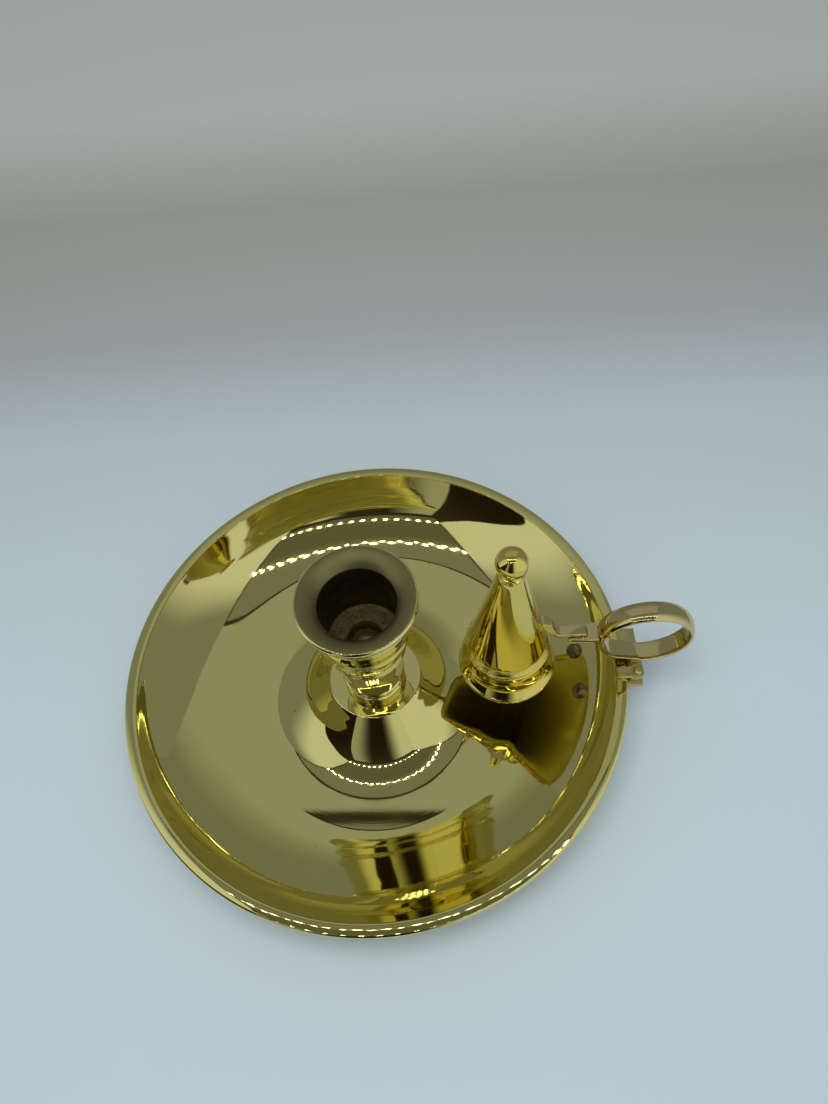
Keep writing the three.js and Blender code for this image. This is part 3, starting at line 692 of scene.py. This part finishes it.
def eased(piece, width, segments=3, limit=30):
    """Takes the sharp edges off a piece, as a file does."""
    bpy.ops.object.select_all(action="DESELECT")
    piece.select_set(True)
    bpy.context.view_layer.objects.active = piece
    edge = piece.modifiers.new("edge", "BEVEL")
    edge.width, edge.segments = width * mm, segments
    edge.limit_method, edge.angle_limit = "ANGLE", radians(limit)
    edge.harden_normals = False
    bpy.ops.object.modifier_apply(modifier="edge")
    bpy.ops.object.shade_smooth_by_angle(angle=radians(35))


fork_low, fork_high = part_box("snuffer_fork")
fork_tip, fork_top = fork_low[0] / mm, fork_high[2] / mm
fork_end = ring_x - sqrt(ring_r ** 2 - (fork_top - 0.9 - ring_z) ** 2) + 0.25
slot_end = fork_tip + 5.9
fork_thick = 1.8
fork_under = fork_top - fork_thick
fork_outline = (
    [(fork_end, -2.9, fork_under), (fork_end, 2.9, fork_under)]
    + [(fork_tip + 0.9, 2.9, fork_under), (fork_tip + 0.25, 2.55, fork_under),
       (fork_tip, 2.0, fork_under), (fork_tip + 0.15, 1.5, fork_under),
       (fork_tip + 0.6, 1.3, fork_under)]
    + [(slot_end, 1.3, fork_under), (slot_end, -1.3, fork_under)]
    + [(fork_tip + 0.6, -1.3, fork_under), (fork_tip + 0.15, -1.5, fork_under),
       (fork_tip, -2.0, fork_under), (fork_tip + 0.25, -2.55, fork_under),
       (fork_tip + 0.9, -2.9, fork_under)]
)
snuffer_fork = plate("snuffer_fork_filed", fork_outline, fork_thick, False)
eased(snuffer_fork, 0.22)
snuffer_fork.data.materials.append(ring_brass)
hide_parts("snuffer_fork")
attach(snuffer_fork, "base")

# ------------------------------------------------------------------------- foot
# The foot is a small plate of satin sheet brass outside the rim, with one claw folded over
# the rim band. The ring's lapped end is soldered to its top.
satin_brass, satin_face, satin_coords = material("satin_sheet_brass")
satin_grain = noise(satin_coords, 600, 4, 0.6)
satin_stain = noise(satin_coords, 110, 4, 0.65)
feed(satin_face, color=blend_colours(
    satin_stain.above(0.52, 0.35), (0.66, 0.57, 0.24, 1), (0.46, 0.37, 0.15, 1)))
feed(satin_face, roughness=(0.20 + satin_stain * 0.14 + satin_grain * 0.06).clamped())
satin_height = satin_grain * 0.5 + satin_stain
feed(satin_face, normal=satin_height.node(
    "ShaderNodeBump", {}, {"Strength": 0.12, "Distance": 0.0002, "Height": satin_height}))

foot_low, foot_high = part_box("handle_foot")
foot_near, foot_far, foot_thick = 8.3, 1.2, 1.3
claw_wide = 3.4
foot_in, foot_end = (pan_x / mm) + pan_radius + 0.3, foot_high[0] / mm
foot_under = foot_low[2] / mm
foot_top = foot_under + foot_thick
claw_top = foot_high[2] / mm
band_x = pan_x / mm + band_inner
foot_plate = plate("foot_plate", [
    (foot_in, -foot_near, foot_under), (foot_end - 1.3, -foot_near, foot_under),
    (foot_end, -foot_near + 1.3, foot_under), (foot_end, foot_far - 1.3, foot_under),
    (foot_end - 1.3, foot_far, foot_under), (foot_in, foot_far, foot_under)],
    foot_thick, False)
eased(foot_plate, 0.16)
foot_claw = plate("foot_claw", [
    (foot_in, foot_under + 0.1), (foot_in + 1.1, foot_under + 0.1),
    (foot_in + 1.1, claw_top - 0.7), (foot_in + 0.98, claw_top - 0.3),
    (foot_in + 0.7, claw_top - 0.05), (foot_in + 0.4, claw_top),
    (band_x + 0.4, claw_top), (band_x, claw_top - 0.25), (band_x - 0.1, claw_top - 0.6),
    (band_x - 0.1, rim_top + 0.05), (foot_in, rim_top + 0.05)], claw_wide, True)
foot_claw.data.transform(Matrix.Translation((0, (claw_wide / 2 - foot_near) * mm, 0)))
eased(foot_claw, 0.2)
bpy.ops.object.select_all(action="DESELECT")
for piece in (foot_plate, foot_claw):
    piece.select_set(True)
bpy.context.view_layer.objects.active = foot_plate
bpy.ops.object.join()
handle_foot = bpy.context.object
handle_foot.name = "handle_foot_sheet"
handle_foot.data.materials.append(satin_brass)
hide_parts("handle_foot")
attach(handle_foot, "base")

# ------------------------------------------------------------------------- strap
# The strap is bent from the same satin sheet. It follows the underside of the pan's wall and
# runs out under the foot, and rivets hold it at both ends.
strap_half = 9.6
strap_top = foot_under - 0.3
strap_end = foot_end - 0.4
strap_face = [(pan_x / mm + r, z) for r, z in shifted(wall_face, sheet + 0.25)[24:54:2]]
strap_back = [(pan_x / mm + r, z) for r, z in shifted(wall_face, 2 * sheet + 0.25)[24:54:2]]
bend = smooth([strap_face[-1], (band_x + 1.2, strap_top - 0.45), (band_x + 3.4, strap_top)], 5)
bend_back = smooth([strap_back[-1], (band_x + 1.9, strap_top - sheet - 0.45),
                    (band_x + 3.9, strap_top - sheet)], 5)
bracket_strap = plate("bracket_strap_bent", strap_face[:-1] + bend + [
    (strap_end, strap_top), (strap_end, strap_top - sheet)]
    + bend_back[::-1] + strap_back[-2::-1], 2 * strap_half, True)
eased(bracket_strap, 0.2)
bracket_strap.data.materials.append(satin_brass)
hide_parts("bracket_strap")
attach(bracket_strap, "base")

# ------------------------------------------------------------------------- foot rivet
# One small brass rivet goes down through the foot and the strap, on the near side of the
# ring. Its head is set low and finished with the sheet.
foot_rivet_x = (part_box("foot_rivet")[0][0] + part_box("foot_rivet")[1][0]) / 2
rivet_low = strap_top - sheet
foot_rivet = spun("foot_rivet_set", (
    [(0, rivet_low - 0.9), (1.1, rivet_low - 0.85), (1.55, rivet_low - 0.3),
     (1.6, rivet_low - 0.02), (0.85, rivet_low - 0.02), (0.85, foot_top + 0.02),
     (1.35, foot_top + 0.02)]
    + smooth([(1.35, foot_top + 0.12), (1.15, foot_top + 0.42), (0.65, foot_top + 0.6)], 5)
    + [(0, foot_top + 0.63)]), foot_rivet_x, 40)
foot_rivet_side = 5.7
foot_rivet.data.transform(Matrix.Translation((0, -foot_rivet_side * mm, 0)))
foot_rivet.data.materials.append(satin_brass)
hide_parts("foot_rivet")
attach(foot_rivet, "base")

# ------------------------------------------------------------------------- wall rivets
# Two brass rivets come through the pan's wall from the strap. Their round heads are
# hammered down inside the pan and have gone dark.
rivet_brass, rivet_face, rivet_coords = material("dark_rivet_brass")
rivet_grain = noise(rivet_coords, 500, 4, 0.65)
rivet_stain = noise(rivet_coords, 1500, 3, 0.6)
feed(rivet_face, color=blend_colours(
    (rivet_grain * 0.7 + rivet_stain * 0.3).above(0.52, 0.25),
    (0.17, 0.125, 0.05, 1), (0.34, 0.27, 0.12, 1)))
feed(rivet_face, roughness=(0.14 + rivet_grain * 0.18).clamped())
rivet_height = rivet_grain + rivet_stain * 0.4
feed(rivet_face, normal=rivet_height.node(
    "ShaderNodeBump", {}, {"Strength": 0.45, "Distance": 0.0004, "Height": rivet_height}))

rivet_reach, rivet_side = 64.6, 7
rivet_z, rivet_slope = 9.06, atan2(0.72, 1)
rivet_x = pan_x / mm + sqrt(rivet_reach ** 2 - rivet_side ** 2)
for name, side_y in (("near", -1), ("far", 1)):
    tail = -2 * sheet - 0.5
    rivet = spun(f"wall_rivet_{name}_set", (
        [(0, tail - 1.1), (1.4, tail - 1.0), (2.1, tail - 0.5), (2.2, tail), (1.3, tail),
         (1.3, 0.05), (2.45, 0.05)]
        + smooth([(2.6, 0.15), (2.55, 0.5), (2.25, 0.95), (1.7, 1.3), (0.9, 1.5)], 5)
        + [(0, 1.55)]), 0, 48)
    seat = Matrix.Translation((rivet_x * mm, side_y * rivet_side * mm, rivet_z * mm))
    rivet.data.transform(seat @ Matrix.Rotation(-rivet_slope, 4, "Y"))
    rivet.data.materials.append(rivet_brass)
    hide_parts(f"wall_rivet_{name}")
    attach(rivet, "base")

# ------------------------------------------------------------------------- snuffer cone
# The snuffer's cone is turned thin from deep yellow brass, with a rolled mouth, a cove and
# three fine beads above it. Its outside is buffed and its inside is left satin; the inside is
# also painted a paler yellow than the outside, painted light that brightens the cone's inside.
cone_low, cone_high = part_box("snuffer_cone")
cone_x = (cone_low[0] + cone_high[0]) / 2
mouth_z, crown_z = cone_low[2] / mm, cone_high[2] / mm
mouth = 14.7
DEEP = (0.80, 0.66, 0.17, 1)
DEEP_WARM = (0.70, 0.52, 0.11, 1)

cone_outline = (
    arc(mouth - 0.75, mouth_z + 0.75, 0.75, -90, 80, 12)
    + smooth([(mouth - 0.85, mouth_z + 1.75), (mouth - 1.5, mouth_z + 2.6),
              (mouth - 2.3, mouth_z + 3.8), (mouth - 2.65, mouth_z + 5.2),
              (mouth - 2.75, mouth_z + 7.4), (mouth - 2.6, mouth_z + 10.2),
              (mouth - 2.5, mouth_z + 11.6)], 6)
    + arc(mouth - 2.7, mouth_z + 12.4, 0.55, -70, 78, 9)
    + arc(mouth - 2.95, mouth_z + 13.7, 0.5, -62, 78, 9)
    + arc(mouth - 3.3, mouth_z + 14.9, 0.5, -60, 78, 9)
    + smooth([(mouth - 3.35, mouth_z + 15.7), (mouth - 3.45, mouth_z + 16.8),
              (mouth - 3.75, mouth_z + 18.2), (10.55, mouth_z + 20)], 5)
    + [(10.55 - 6.9 * i / 24, mouth_z + 20 + 31.7 * i / 24) for i in range(1, 24)]
    + arc(3.3, crown_z - 0.3, 0.3, 15, 90, 4)
    + [(2.4, crown_z), (1.3, crown_z), (1.3, crown_z - 2.2), (2.3, crown_z - 2.2)]
    + [(9.2, mouth_z + 19.8), (10.2, mouth_z + 13), (10.4, mouth_z + 6),
       (12.0, mouth_z + 1.6), (13.2, mouth_z + 0.2)]
    + arc(mouth - 0.75, mouth_z + 0.75, 0.75, -105, -90, 1)
)
snuffer_cone = spun("snuffer_cone_turned", cone_outline, cone_x, 192)
snuffer_brass = polished_brass("snuffer_brass", cone_x, DEEP, DEEP_WARM, 0.035, 1.0, 0.5)

inside_painted_light_brass, inside_face, inside_coords = material("snuffer_inside_satin_painted_light")
inside_stain = noise(inside_coords, 130, 4, 0.6)
# The inside's paler yellow is painted light; its satin roughness and random mottle are its own.
feed(inside_face, color=blend_colours(
    inside_stain.above(0.5, 0.3), (0.93, 0.87, 0.42, 1), (0.82, 0.74, 0.30, 1)))
feed(inside_face, roughness=(0.42 + inside_stain * 0.12).clamped())
for made in (snuffer_brass, inside_painted_light_brass):
    snuffer_cone.data.materials.append(made)
for polygon in snuffer_cone.data.polygons:
    outward = (polygon.center.x - cone_x) * polygon.normal.x + polygon.center.y * polygon.normal.y
    r = hypot(polygon.center.x - cone_x, polygon.center.y) / mm
    if outward < 0 and 2.5 < r < mouth - 1.6 and polygon.center.z / mm < crown_z - 2:
        polygon.material_index = 1
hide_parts("snuffer_cone")
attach(snuffer_cone, "snuffer")

# ------------------------------------------------------------------------- snuffer finial
# The finial is a turned ball on a small collar, of the same brass as the cone. A pin under
# the collar fits the hole in the cone's crown.
ball_r = 4.4
collar_z = crown_z + 0.05
ball_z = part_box("snuffer_finial")[1][2] / mm - ball_r
finial_outline = (
    [(0, collar_z - 3.4), (1, collar_z - 3.4), (1, collar_z), (3.1, collar_z)]
    + arc(3.1, collar_z + 0.35, 0.33, -80, 80, 8)
    + smooth([(2.95, collar_z + 0.75), (2.55, collar_z + 1.05), (2.6, collar_z + 1.4)], 5)[:-1]
    + arc(0, ball_z, ball_r, -53, 88, 34)
    + [(0, ball_z + ball_r)]
)
snuffer_finial = spun("snuffer_finial_turned", finial_outline, cone_x, 128)
snuffer_finial.data.materials.append(snuffer_brass)
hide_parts("snuffer_finial")
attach(snuffer_finial, "snuffer")

# ------------------------------------------------------------------------- snuffer tongue
# The tongue is a bent strip soldered to the side of the cone. Its flat end lies on the fork,
# and a narrow tab below it drops into the slot between the prongs.
tongue_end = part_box("snuffer_tongue")[1][0] / mm
tongue_under = fork_top + 0.3
tongue_top = tongue_under + 1.3
tongue_bend = fork_tip - 3.1
seat_low, seat_top = mouth_z + 22, mouth_z + 25.4
side_low, side_top = [cone_x / mm + 10.55 - 6.9 * (z - mouth_z - 20) / 31.7
                      for z in (seat_low, seat_top)]
tongue_strip = plate("tongue_strip", [
    (tongue_bend, tongue_under), (tongue_end - 0.3, tongue_under), (tongue_end, tongue_under),
    (tongue_end, tongue_top - 0.5), (tongue_end - 0.15, tongue_top - 0.15),
    (tongue_end - 0.5, tongue_top), (tongue_bend + 1.0, tongue_top),
    (tongue_bend + 0.4, tongue_top + 0.12), (tongue_bend - 0.1, tongue_top + 0.5),
    (side_low + 1.9, seat_top - 1.0), (side_top + 0.5, seat_top + 0.1),
    (side_top - 0.15, seat_top + 0.1), (side_low - 0.15, seat_low)],
    3.3, True)
eased(tongue_strip, 0.18)
tongue_tab = plate("tongue_tab", [
    (tongue_end - 1.3, fork_under - 0.6), (tongue_end - 0.1, fork_under - 0.6),
    (tongue_end, fork_under - 0.4), (tongue_end, tongue_top - 0.6),
    (tongue_end - 1.3, tongue_top - 0.6)], 2.0, True)
eased(tongue_tab, 0.15)
bpy.ops.object.select_all(action="DESELECT")
tongue_tab.select_set(True)
tongue_strip.select_set(True)
bpy.context.view_layer.objects.active = tongue_strip
bpy.ops.object.join()
snuffer_tongue = bpy.context.object
snuffer_tongue.name = "snuffer_tongue_bent"
snuffer_tongue.data.materials.append(ring_brass)
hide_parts("snuffer_tongue")
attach(snuffer_tongue, "snuffer")
